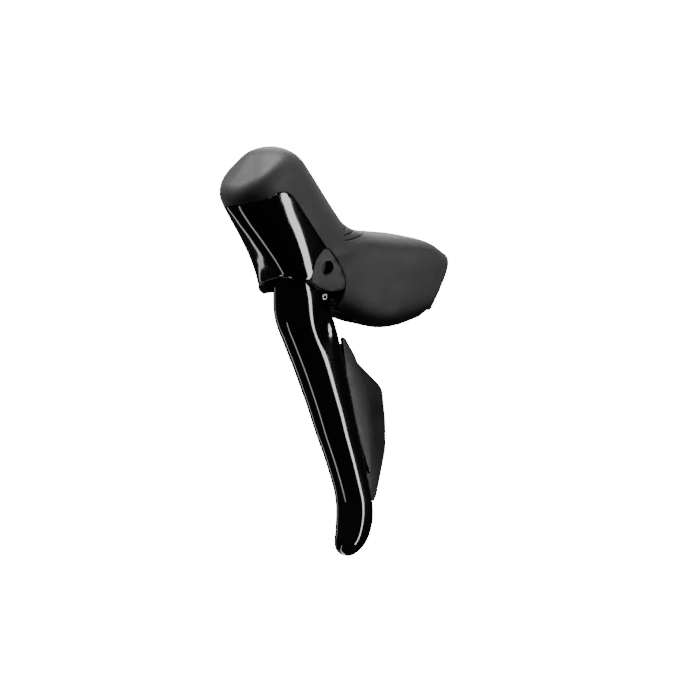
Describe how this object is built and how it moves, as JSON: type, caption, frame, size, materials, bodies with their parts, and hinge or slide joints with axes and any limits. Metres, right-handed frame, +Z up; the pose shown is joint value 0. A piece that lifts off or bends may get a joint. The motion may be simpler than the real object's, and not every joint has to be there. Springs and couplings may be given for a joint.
{
  "type": "brake shift lever",
  "caption": "Left drop-bar brake and shift lever: rubber hood with a tall horn, gloss front shell and hinged blade, two shift paddles behind the blade, bar clamp inside.",
  "frame": {"origin": "centre of the handlebar where the clamp band holds it", "axes": "-X forward along the bicycle, -Y towards the rider's left (the outer side), +Z up, with the grip sloping up to the front by about 11 degrees"},
  "size_m": [0.1185, 0.0378, 0.1796],
  "materials": {
    "hood_rubber": "matte charcoal grey moulded rubber",
    "gloss_shell": "gloss black",
    "lever_gloss": "gloss black lacquer",
    "bracket_nylon": "satin dark grey",
    "paddle_front": "fine-grained dark grey",
    "paddle_rear": "satin dark grey",
    "seal_rubber": "matte black",
    "steel": "bright steel",
    "black_steel": "blackened steel",
    "aluminium": "turned aluminium",
    "brass": "turned brass",
    "board": "green circuit board"
  },
  "bodies": {
    "bracket": {"battery_cover": "bracket_nylon", "bleed_o_ring": "seal_rubber", "bleed_screw": "black_steel", "board_cover": "bracket_nylon", "bracket_body": "bracket_nylon", "button_switch": "board", "circuit_board": "board", "clamp_band": "steel", "clamp_bolt": "black_steel", "clamp_nut": "steel", "coin_cell": "steel", "front_cover": "gloss_shell", "front_cover_screw": "black_steel", "hood_cover": "hood_rubber", "hose_insert": "steel", "hose_nut": "black_steel", "hose_olive": "brass", "lever_axle": "black_steel", "master_cylinder": "aluminium", "piston_spring": "steel", "port_plug": "seal_rubber", "radio_module": "steel", "reservoir_bladder": "seal_rubber", "reservoir_lid": "aluminium"},
    "lever": {"main_lever": "lever_gloss", "outer_axle_bush": "brass", "inner_axle_bush": "brass", "pull_roller": "steel", "roller_pin": "steel", "switch_housing": "bracket_nylon", "front_switch_dome": "seal_rubber", "rear_switch_dome": "seal_rubber", "paddle_pin": "steel"},
    "piston": {"piston": "aluminium", "rear_piston_seal": "seal_rubber", "front_piston_seal": "seal_rubber", "push_rod": "steel"},
    "front_paddle": {"front_paddle": "paddle_front"},
    "rear_paddle": {"rear_paddle": "paddle_rear"},
    "hood_button": {"hood_button": "bracket_nylon"},
    "reach_screw": {"reach_screw": "steel"}
  },
  "joints": [
    {"name": "lever_pull", "type": "hinge", "parent": "bracket", "child": "lever", "pos_m": [-0.0622, 0, 0.0182], "axis": [0, -1, 0], "range_deg": [0, 15], "stiffness_Nm_per_rad": 0.5, "springref_deg": -20.05},
    {"name": "piston_slide", "type": "slide", "parent": "bracket", "child": "piston", "axis": [0.9799, 0, -0.1994], "range_m": [0, 0.0033], "deforming": ["piston_spring"]},
    {"name": "front_paddle_press", "type": "hinge", "parent": "lever", "child": "front_paddle", "pos_m": [-0.0467, -0.0034, -0.0223], "axis": [0.1097, -0.1134, -0.9875], "range_deg": [0, 3], "stiffness_Nm_per_rad": 0.2, "springref_deg": -6.88},
    {"name": "rear_paddle_press", "type": "hinge", "parent": "lever", "child": "rear_paddle", "pos_m": [-0.0467, -0.0034, -0.0223], "axis": [0.1097, -0.1134, -0.9875], "range_deg": [0, 3.5], "stiffness_Nm_per_rad": 0.2, "springref_deg": -6.88},
    {"name": "hood_button_press", "type": "slide", "parent": "bracket", "child": "hood_button", "axis": [0, -1, 0], "range_m": [0, 0.0004], "stiffness_N_per_m": 500, "springref_m": -0.002},
    {"name": "reach_screw_turn", "type": "hinge", "parent": "lever", "child": "reach_screw", "pos_m": [-0.0581, -0.009, 0.0041], "axis": [0, 1, 0], "continuous": true}
  ],
  "couplings": [
    {"joint": "piston_slide", "follows": "lever_pull", "m_per_rad": 0.012464}
  ]
}
